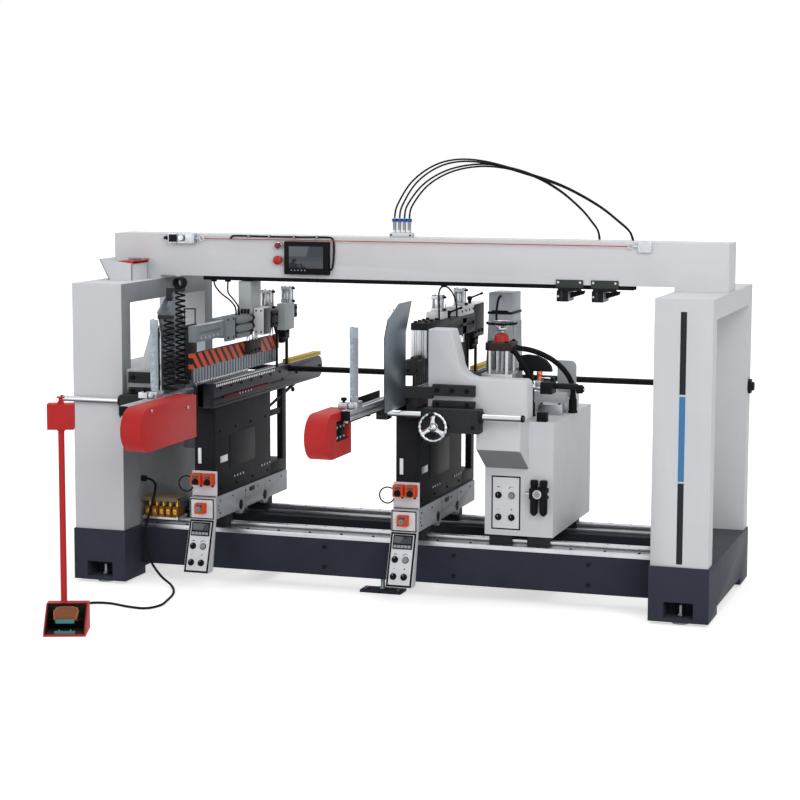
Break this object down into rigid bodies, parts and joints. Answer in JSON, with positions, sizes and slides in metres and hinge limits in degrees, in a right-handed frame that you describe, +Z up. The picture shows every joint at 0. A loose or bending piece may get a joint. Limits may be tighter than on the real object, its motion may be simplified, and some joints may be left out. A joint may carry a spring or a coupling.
{
  "type": "line boring machine",
  "caption": "Floor-standing line boring machine for panels, with sliding vertical and horizontal boring units on a bed between columns, press beams, red guards and foot switch.",
  "frame": {"origin": "on the floor, under the middle of the machine's outline with the foot switch in place", "axes": "+X to the operator's right along the bed, +Y away from the operator, +Z up"},
  "size_m": [2.962, 2.449, 1.9137],
  "materials": {
    "plinth_paint": "satin navy grey paint",
    "column_paint": "fine textured light grey paint",
    "beam_paint": "fine textured light grey paint",
    "foot_steel": "zinc plated",
    "rail_steel": "ground",
    "screen_case": "matt",
    "start_red": "gloss",
    "stop_red": "gloss",
    "switch_alloy": "die cast",
    "manifold_alloy": "anodised",
    "hose_black": "smooth",
    "box_white": "satin",
    "guard_red": "satin",
    "bracket_black": "satin",
    "casting_white": "satin over cast iron",
    "slide_alloy": "machined",
    "head_dark": "satin",
    "fence_alloy": "anodised",
    "upright_zinc": "galvanised",
    "valve_brass": "satin",
    "shaft_black": "blackened",
    "treadle_rubber": "ribbed",
    "carriage_grey": "satin over cast iron",
    "pedestal_black": "satin",
    "console_grey": "fine textured",
    "table_dark": "dark anodised",
    "arm_grey": "anodised",
    "head_alloy": "machined",
    "press_orange": "satin",
    "knob_black": "fluted",
    "knob_grey": "fluted",
    "cabinet_grey": "fine textured",
    "wheel_chrome": "polished"
  },
  "bodies": {
    "frame": {"left_plinth": "plinth_paint", "right_plinth": "plinth_paint", "left_column": "column_paint", "right_column": "column_paint", "levelling_feet": "foot_steel", "top_beam": "beam_paint", "bed_beams": "plinth_paint", "guide_rails": "rail_steel", "control_screen": "screen_case", "pull_wire_switch": "switch_alloy", "air_manifold": "manifold_alloy", "top_air_hoses": "hose_black", "top_box": "box_white", "beam_brackets": "bracket_black", "left_casting": "casting_white", "left_bracket": "bracket_black", "left_slide_block": "slide_alloy", "coil_hoses": "hose_black", "valve_bank": "valve_brass", "pedal_base": "guard_red", "pedal_cord": "hose_black"},
    "start_button": {"start_button": "start_red"},
    "emergency_stop": {"emergency_stop": "stop_red"},
    "box_lid": {"box_lid": "guard_red"},
    "drive_shaft": {"drive_shaft": "shaft_black"},
    "pedal_treadle": {"pedal_treadle": "treadle_rubber"},
    "left_head": {"left_head": "head_dark"},
    "left_fence": {"left_fence": "fence_alloy", "left_guard": "guard_red"},
    "left_upright": {"left_upright": "upright_zinc"},
    "unit_a": {"a_carriage": "carriage_grey", "a_pedestal": "pedestal_black", "a_console": "console_grey", "a_table": "table_dark", "a_overhead_arm": "arm_grey"},
    "a_head": {"a_boring_head": "head_alloy"},
    "a_press": {"a_press_beam": "press_orange"},
    "a_left_knob": {"a_left_knob": "knob_black"},
    "a_right_knob": {"a_right_knob": "knob_black"},
    "a_lower_knob": {"a_lower_knob": "knob_grey"},
    "unit_b": {"b_carriage": "carriage_grey", "b_pedestal": "pedestal_black", "b_console": "console_grey", "b_table": "table_dark", "b_overhead_arm": "arm_grey"},
    "b_head": {"b_boring_head": "head_alloy"},
    "b_press": {"b_press_beam": "press_orange"},
    "b_left_knob": {"b_left_knob": "knob_black"},
    "b_right_knob": {"b_right_knob": "knob_black"},
    "b_lower_knob": {"b_lower_knob": "knob_grey"},
    "unit_c": {"c_cabinet": "cabinet_grey", "c_casting": "casting_white", "c_bracket": "bracket_black"},
    "c_lift": {"c_saddle": "slide_alloy"},
    "c_head": {"c_head": "head_dark"},
    "c_fence": {"c_fence": "fence_alloy", "c_guard": "guard_red"},
    "c_upright": {"c_upright": "upright_zinc"},
    "c_height_wheel": {"c_height_wheel": "wheel_chrome"},
    "c_handwheel": {"c_handwheel": "wheel_chrome"}
  },
  "joints": [
    {"name": "start_push", "type": "slide", "parent": "frame", "child": "start_button", "axis": [0, 1, 0], "range_m": [0, 0.006], "stiffness_N_per_m": 400, "springref_m": -0.005},
    {"name": "stop_push", "type": "slide", "parent": "frame", "child": "emergency_stop", "axis": [0, 1, 0], "range_m": [0, 0.006], "stiffness_N_per_m": 400, "springref_m": -0.005},
    {"name": "box_lid_hinge", "type": "hinge", "parent": "frame", "child": "box_lid", "pos_m": [-1.29, 0.2045, 1.4484], "axis": [-1, 0, 0], "range_deg": [0, 85]},
    {"name": "drive_shaft_turn", "type": "hinge", "parent": "frame", "child": "drive_shaft", "pos_m": [0.015, 0.7725, 0.898], "axis": [1, 0, 0], "continuous": true},
    {"name": "pedal_press", "type": "hinge", "parent": "frame", "child": "pedal_treadle", "pos_m": [-1.012, -1.0968, 0.046], "axis": [0.9397, 0.342, 0], "range_deg": [0, 8], "stiffness_Nm_per_rad": 6, "springref_deg": -8.59},
    {"name": "left_head_stroke", "type": "slide", "parent": "frame", "child": "left_head", "axis": [1, 0, 0], "range_m": [0, 0.05]},
    {"name": "left_fence_slide", "type": "slide", "parent": "frame", "child": "left_fence", "axis": [1, 0, 0], "range_m": [0, 0.1]},
    {"name": "left_upright_slide", "type": "slide", "parent": "left_fence", "child": "left_upright", "axis": [0, 1, 0], "range_m": [-0.2, 0.06]},
    {"name": "unit_a_slide", "type": "slide", "parent": "frame", "child": "unit_a", "axis": [1, 0, 0], "range_m": [-0.02, 0.25]},
    {"name": "a_head_stroke", "type": "slide", "parent": "unit_a", "child": "a_head", "axis": [0, 0, 1], "range_m": [0, 0.06]},
    {"name": "a_press_stroke", "type": "slide", "parent": "unit_a", "child": "a_press", "axis": [0, 0, 1], "range_m": [-0.02, 0.005]},
    {"name": "a_left_knob_turn", "type": "hinge", "parent": "unit_a", "child": "a_left_knob", "pos_m": [-0.84632, -0.1795, 0.483], "axis": [0, -1, 0], "continuous": true},
    {"name": "a_right_knob_turn", "type": "hinge", "parent": "unit_a", "child": "a_right_knob", "pos_m": [-0.78968, -0.1795, 0.483], "axis": [0, -1, 0], "continuous": true},
    {"name": "a_lower_knob_turn", "type": "hinge", "parent": "unit_a", "child": "a_lower_knob", "pos_m": [-0.818, -0.1995, 0.366], "axis": [0, -1, 0], "continuous": true},
    {"name": "unit_b_slide", "type": "slide", "parent": "frame", "child": "unit_b", "axis": [1, 0, 0], "range_m": [-0.5, 0.03]},
    {"name": "b_head_stroke", "type": "slide", "parent": "unit_b", "child": "b_head", "axis": [0, 0, 1], "range_m": [0, 0.06]},
    {"name": "b_press_stroke", "type": "slide", "parent": "unit_b", "child": "b_press", "axis": [0, 0, 1], "range_m": [-0.02, 0.005]},
    {"name": "b_left_knob_turn", "type": "hinge", "parent": "unit_b", "child": "b_left_knob", "pos_m": [0.09968, -0.1795, 0.483], "axis": [0, -1, 0], "continuous": true},
    {"name": "b_right_knob_turn", "type": "hinge", "parent": "unit_b", "child": "b_right_knob", "pos_m": [0.15632, -0.1795, 0.483], "axis": [0, -1, 0], "continuous": true},
    {"name": "b_lower_knob_turn", "type": "hinge", "parent": "unit_b", "child": "b_lower_knob", "pos_m": [0.128, -0.1995, 0.366], "axis": [0, -1, 0], "continuous": true},
    {"name": "unit_c_slide", "type": "slide", "parent": "frame", "child": "unit_c", "axis": [1, 0, 0], "range_m": [0, 0.42]},
    {"name": "c_lift", "type": "slide", "parent": "unit_c", "child": "c_lift", "axis": [0, 0, 1], "range_m": [-0.015, 0.015]},
    {"name": "c_head_feed", "type": "slide", "parent": "c_lift", "child": "c_head", "axis": [-1, 0, 0], "range_m": [0, 0.05]},
    {"name": "c_height_wheel_turn", "type": "hinge", "parent": "unit_c", "child": "c_height_wheel", "pos_m": [0.485, 0.1005, 1.196], "axis": [0, 0, 1], "range_deg": [-540, 540]},
    {"name": "c_fence_slide", "type": "slide", "parent": "unit_c", "child": "c_fence", "axis": [1, 0, 0], "range_m": [-0.1, 0.05]},
    {"name": "c_upright_slide", "type": "slide", "parent": "c_fence", "child": "c_upright", "axis": [0, 1, 0], "range_m": [-0.08, 0.12]},
    {"name": "c_handwheel_turn", "type": "hinge", "parent": "unit_c", "child": "c_handwheel", "pos_m": [0.282, -0.2475, 0.788], "axis": [0, 1, 0], "range_deg": [-140, 70]}
  ],
  "couplings": [
    {"joint": "c_height_wheel_turn", "follows": "c_lift", "rad_per_m": 628.32},
    {"joint": "c_handwheel_turn", "follows": "c_fence_slide", "rad_per_m": 24.39}
  ]
}
